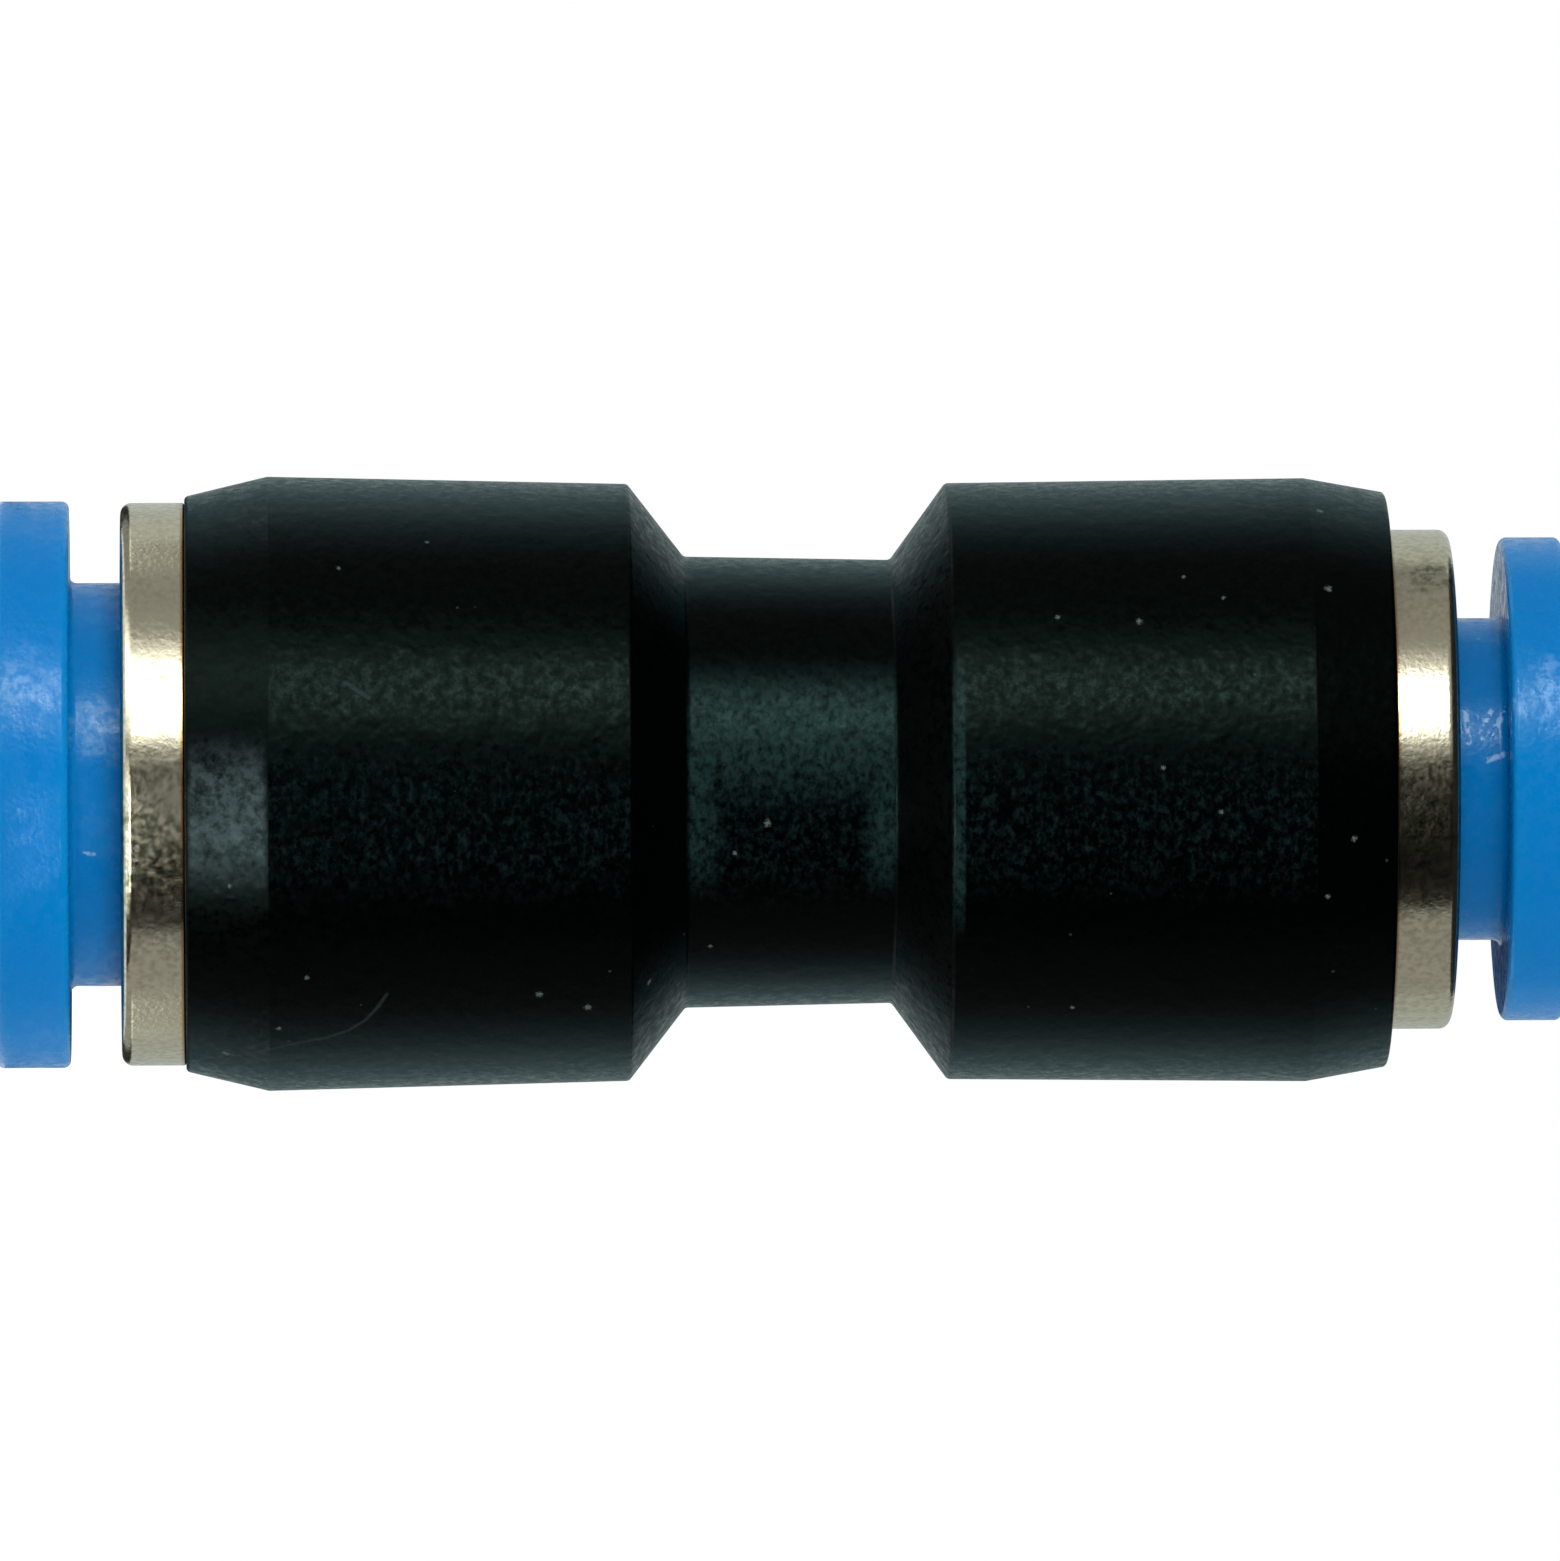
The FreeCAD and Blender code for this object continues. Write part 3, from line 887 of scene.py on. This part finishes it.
def blue_plastic(name, shade):
    """Blue plastic with specks, scuffs and painted highlights; a higher shade is paler, painting in more
    light.
    """
    made, tree, shader = material(name, specular=0.22, tint=colour(0.8, 0.95, 1.0))
    shader.inputs["Subsurface Weight"].default_value = 0.4
    shader.inputs["Subsurface Radius"].default_value = (0.1, 0.7, 1.0)
    shader.inputs["Subsurface Scale"].default_value = 2 * MM
    grain = noise(tree, 0.13, detail=1)
    cloud = noise(tree, 0.6, detail=1)
    patches = noise(tree, 0.3, detail=3, rough=0.65)
    tone = noise(tree, 2.5, detail=2)
    dust = flecks(tree, 1.2, 0.09, 0.15)
    specks = specks_on(tree, sleeve_radius, SLEEVE_SPECKS)
    scuffs = scratches_on(tree, sleeve_radius, SLEEVE_SCRATCHES)
    worn = maths(tree, "MULTIPLY", scuffs, ramp(tree, grain, 0.4, 0.55))
    base = mixed(tree, tone, colour(0, 0.19 * shade, 0.53 * shade), colour(0, 0.215 * shade, 0.57 * shade))
    # Painted highlights: blotchy paler patches where the softbox shines on the flanges and large neck
    sleeve_highlight = greatest(tree, [near_point(tree, Vector(point), width) for point, width in PAINTED_SLEEVE_HIGHLIGHTS])
    sleeve_highlight = maths(tree, "MULTIPLY", sleeve_highlight, ramp(tree, noise(tree, 0.2, detail=2, rough=0.6), 0.4, 0.62))
    base = mixed(tree, sleeve_highlight, base, colour(0.13, 0.36, 0.72))
    base = mixed(tree, dust, base, colour(0.08, 0.32, 0.66))
    base = mixed(tree, maths(tree, "MAXIMUM", specks, worn), base, colour(0.3, 0.5, 0.8))
    roughness = ramp(tree, patches, 0.3, 0.7, 0.11, 0.4)
    normal = bump(tree, grain, 0.007)
    normal = bump(tree, cloud, 0.016, normal)
    finish_with(tree, shader, base, roughness, normal)
    return made


def satin_nickel():
    """Nickel plating, tarnished and with painted dark reflection, and with a brown stain beside the body.
    """
    made, tree, shader = material("satin_nickel", metallic=1.0)
    pits = noise(tree, 0.12, detail=1)
    grime = noise(tree, 0.16, detail=1)
    spots = noise(tree, 0.24, detail=2, rough=0.6)
    cloud = noise(tree, 0.6, detail=3)
    from_body = maths(tree, "MINIMUM", off_height(tree, LARGE_END), off_height(tree, SMALL_END))
    edge = ramp(tree, from_body, *STAIN_EDGE, 1, 0)
    # Tarnish, and painted dark reflection where the rings face the dark front
    tarnish_and_reflection = greatest(tree, [near_point(tree, Vector(point), width) for point, width in TARNISH_AND_DARK_REFLECTION])
    tarnish_and_reflection = maths(tree, "MULTIPLY", tarnish_and_reflection, ramp(tree, spots, 0.3, 0.72))
    base = mixed(tree, cloud, colour(0.6, 0.57, 0.42), colour(0.68, 0.655, 0.49))
    base = mixed(tree, ramp(tree, grime, 0.3, 0.8), base, colour(0.5, 0.47, 0.34))
    base = mixed(tree, tarnish_and_reflection, base, colour(0.13, 0.16, 0.09))
    base = mixed(tree, edge, base, colour(0.42, 0.24, 0.09))
    roughness = ramp(tree, grime, 0.35, 0.65, 0.15, 0.24)
    normal = bump(tree, pits, 0.004)
    finish_with(tree, shader, base, roughness, normal)
    return made


def stainless():
    """Spring steel that shows which way it was rolled."""
    made, tree, shader = material("spring_steel", metallic=1.0)
    rolled = noise(tree, 0.6, stretch=(1, 12, 1), detail=3)
    base = mixed(tree, rolled, colour(0.50, 0.51, 0.52), colour(0.62, 0.62, 0.62))
    roughness = ramp(tree, rolled, 0.3, 0.7, 0.22, 0.4)
    finish_with(tree, shader, base, roughness, bump(tree, rolled, 0.004))
    return made


def natural_acetal():
    """Off-white plastic without dye."""
    made, tree, shader = material("natural_acetal")
    cloud = noise(tree, 1.2, detail=2)
    fine = noise(tree, 0.12, detail=2)
    base = mixed(tree, cloud, colour(0.70, 0.69, 0.64), colour(0.78, 0.77, 0.73))
    roughness = ramp(tree, fine, 0.3, 0.7, 0.35, 0.5)
    finish_with(tree, shader, base, roughness, bump(tree, fine, 0.004))
    return made


def nitrile():
    """Black rubber with a faint bloom."""
    made, tree, shader = material("nitrile_rubber", specular=0.4)
    bloom = noise(tree, 0.9, detail=4)
    fine = noise(tree, 0.08, detail=3)
    base = mixed(tree, bloom, colour(0.008, 0.008, 0.008), colour(0.018, 0.018, 0.019))
    roughness = ramp(tree, fine, 0.3, 0.7, 0.45, 0.65)
    finish_with(tree, shader, base, roughness, bump(tree, fine, 0.006))
    return made


def dress(piece, finish, slot_name, body, *nodes):
    """Give a piece its material and the body it moves with, and hide the nodes it replaces; slot_name is
    not used.
    """
    piece.data.materials.clear()
    piece.data.materials.append(finish)
    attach(piece, body)
    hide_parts(*nodes)


def make_camera():
    """Camera that lies on its side, so that the large port is at the picture's left."""
    data = bpy.data.cameras.new("camera")
    data.lens = CAMERA_LENS
    data.sensor_width = CAMERA_SENSOR
    camera = linked("camera", data)
    right = Vector((0, 0, 1))
    up = Vector((-1, 0, 0))
    ahead = Vector((0, 1, 0))
    right, ahead = (right * math.cos(CAMERA_YAW) - ahead * math.sin(CAMERA_YAW),
                    ahead * math.cos(CAMERA_YAW) + right * math.sin(CAMERA_YAW))
    up, ahead = (up * math.cos(CAMERA_PITCH) - ahead * math.sin(CAMERA_PITCH),
                 ahead * math.cos(CAMERA_PITCH) + up * math.sin(CAMERA_PITCH))
    right, up = (right * math.cos(CAMERA_ROLL) + up * math.sin(CAMERA_ROLL),
                 up * math.cos(CAMERA_ROLL) - right * math.sin(CAMERA_ROLL))
    turn = Matrix((right, up, -ahead)).transposed().to_4x4()
    where = Vector((CAMERA_ACROSS, -CAMERA_DISTANCE, CAMERA_HEIGHT)) * MM
    camera.matrix_world = Matrix.Translation(where) @ turn
    bpy.context.scene.camera = camera


def seen_share(tree):
    """1 for rays that show the background itself: camera, glossy and transmission rays."""
    path = node(tree, "ShaderNodeLightPath").outputs
    share = maths(tree, "MAXIMUM", path["Is Camera Ray"], path["Is Glossy Ray"])
    return maths(tree, "MAXIMUM", share, path["Is Transmission Ray"])


def make_world():
    """White background that lights surfaces less than it shows."""
    world = bpy.data.worlds.new("studio")
    world.use_nodes = True
    tree = world.node_tree
    background = tree.nodes["Background"]
    background.inputs["Color"].default_value = colour(1, 1, 1)
    strength = ramp(tree, seen_share(tree), 0, 1, WORLD_LIGHT, 1)
    tree.links.new(strength, background.inputs["Strength"])
    bpy.context.scene.world = world


def make_floor():
    """Pale floor that glows only where it is seen."""
    shape = bmesh.new()
    bmesh.ops.create_circle(shape, cap_ends=True, segments=96, radius=FLOOR_RADIUS * MM)
    mesh = bpy.data.meshes.new("floor")
    shape.to_mesh(mesh)
    shape.free()
    floor = linked("floor", mesh)
    made = bpy.data.materials.new("pale_floor")
    made.use_nodes = True
    tree = made.node_tree
    shader = tree.nodes["Principled BSDF"]
    shader.inputs["Base Color"].default_value = colour(0.8, 0.8, 0.8)
    shader.inputs["Roughness"].default_value = 0.9
    shader.inputs["Specular IOR Level"].default_value = 0.0
    shader.inputs["Emission Color"].default_value = colour(1, 1, 1)
    glow = ramp(tree, seen_share(tree), 0, 1, 0, FLOOR_GLOW)
    tree.links.new(glow, shader.inputs["Emission Strength"])
    mesh.materials.append(made)


def direction(azimuth):
    """Level direction at an angle from the camera's side, counted towards the picture's top."""
    angle = math.radians(azimuth)
    return Vector((-math.sin(angle), -math.cos(angle), 0))


def card(name, inner, outer, stations):
    """Reflection card: a strip between two (radius, height) rims that only reflections see.

    Stations are (azimuth, glow) or (azimuth, glow, tint), and the glow fades from one to the next.
    """
    vertices = []
    faces = []
    glows = []
    for (start, glow, *tint), (end, next_glow, *next_tint) in zip(stations, stations[1:]):
        steps = max(1, round((end - start) / CARD_STEP_DEG))
        first = Vector(tint[0] if tint else NEUTRAL) * glow
        last = Vector(next_tint[0] if next_tint else NEUTRAL) * next_glow
        for i in range(steps + 1):
            towards = direction(start + (end - start) * i / steps)
            for radius, height in (inner, outer):
                vertices.append(towards * radius * MM + Vector((0, 0, height * MM)))
                glows.extend((*first.lerp(last, i / steps), 1))
            if i:
                corner = len(vertices) - 4
                faces.append((corner, corner + 1, corner + 3, corner + 2))
    mesh = bpy.data.meshes.new(name)
    mesh.from_pydata(vertices, [], faces)
    mesh.attributes.new("glow", "FLOAT_COLOR", "POINT").data.foreach_set("color", glows)
    piece = linked(name, mesh)
    made = bpy.data.materials.new(name)
    made.use_nodes = True
    tree = made.node_tree
    tree.nodes.clear()
    stored = node(tree, "ShaderNodeAttribute", attribute_name="glow")
    emission = node(tree, "ShaderNodeEmission", {"Color": stored.outputs["Color"], "Strength": 1})
    output = node(tree, "ShaderNodeOutputMaterial")
    tree.links.new(emission.outputs[0], output.inputs["Surface"])
    made.cycles.emission_sampling = "NONE"
    mesh.materials.append(made)
    piece.visible_camera = False
    piece.visible_diffuse = False
    piece.visible_shadow = False
    piece.visible_transmission = False


def make_lamp(name, azimuth, distance, height, size, radiance):
    """Rectangular lamp that faces the middle of the axis."""
    data = bpy.data.lights.new(name, "AREA")
    data.shape = "RECTANGLE"
    data.size = size[0] * MM
    data.size_y = size[1] * MM
    data.energy = radiance * math.pi * data.size * data.size_y
    lamp = linked(name, data)
    lamp.location = direction(azimuth) * distance * MM + Vector((0, 0, height * MM))
    aimed_at = Vector((0, 0, LAMP_AIM * MM))
    lamp.rotation_euler = (aimed_at - lamp.location).to_track_quat("-Z", "Y").to_euler()
    lamp.visible_camera = False
    return lamp


def make_light():
    """Dark and pale cards all round, a softbox made of graded lamps, and key lamps."""
    card("wall_card", (WALL, 0), (WALL, CEILING), WALL_GLOW)
    card("apron_card", (APRON_START, APRON), (WALL, APRON), APRON_GLOW)
    card("ceiling_card", (CEILING_START, CEILING), (WALL, CEILING), ((-180, DARK), (180, DARK)))
    card("side_card", (SIDE_CARD_START, FLAT_CARDS), (SIDE_CARD_END, FLAT_CARDS), SIDE_GLOW)
    card("far_side_card", (SIDE_CARD_START, FLAT_CARDS), (SIDE_CARD_END, FLAT_CARDS),
         [(-azimuth, *glow) for azimuth, *glow in SIDE_GLOW[::-1]])
    card("back_shade", (APRON_START, BACK_SHADE), (BACK_SHADE_END, BACK_SHADE),
         ((BACK_START, DARK), (360 - BACK_START, DARK)))
    card("bench_card", (BENCH, 0), (BENCH, BENCH_HEIGHT), BENCH_GLOW)
    card("near_card", (NEAR_CARD_START, FLAT_CARDS), (LOW_CARD_START, FLAT_CARDS), NEAR_GLOW)
    card("low_card", (LOW_CARD_START, FLAT_CARDS), (LOW_CARD_END, FLAT_CARDS), LOW_GLOW)
    width = 2 * SOFTBOX_DISTANCE * math.tan(math.radians(SOFTBOX_STEP_DEG / 2))
    for azimuth, radiance in SOFTBOX:
        lamp = make_lamp("softbox", azimuth, SOFTBOX_DISTANCE, SOFTBOX_LEVEL,
                         (width, SOFTBOX_HEIGHT), radiance)
        lamp.visible_diffuse = False
    for azimuth, radiance in KEY_LAMPS:
        lamp = make_lamp("key", azimuth, KEY_DISTANCE, KEY_LEVEL, KEY_SIZE, radiance)
        lamp.visible_glossy = False


make_camera()
make_world()
make_floor()
make_light()

large = Port("8mm", LARGE_TUBE_R, LARGE_END, 1, LARGE_FLANGE_THICKNESS,
             LARGE_SOCKET_LENGTH, LARGE_TOOTH_COUNT)
small = Port("6mm", SMALL_TUBE_R, SMALL_END, -1, SMALL_FLANGE_THICKNESS,
             SMALL_SOCKET_LENGTH, SMALL_TOOTH_COUNT)

black = black_plastic()
# Painted light: the large sleeve's blue is a paler copy, making up for the shade it gets near the floor
lit_blue = blue_plastic("pale_blue_plastic", shade=1.13)
blue = blue_plastic("blue_plastic", shade=0.97)
nickel = satin_nickel()
steel = stainless()
acetal = natural_acetal()
rubber = nitrile()

dress(make_body(large, small), black, "body", "housing", "body")
for port, sleeve_finish in ((large, lit_blue), (small, blue)):
    dress(make_sleeve(port), sleeve_finish, "sleeve",
          "sleeve_" + port.suffix, "release_sleeve_" + port.suffix)
    dress(make_guide(port), nickel, "guide_ring", "housing", "guide_ring_" + port.suffix)
    claws = make_claws(port)
    claws.data.materials.clear()
    claws.data.materials.append(steel)
    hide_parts("claw_ring_" + port.suffix)
    claw_back = CLAW_FRONT + CLAW_STOCK
    port.height(claw_back) * MM
    port.height(claw_back + CLAW_FLEX_LENGTH) * MM
    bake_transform(claws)
    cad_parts["claw_seat_" + port.suffix].material_slots[0].material = acetal
    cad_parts["seal_" + port.suffix].material_slots[0].material = rubber

bpy.context.scene.view_settings.view_transform = "Standard"
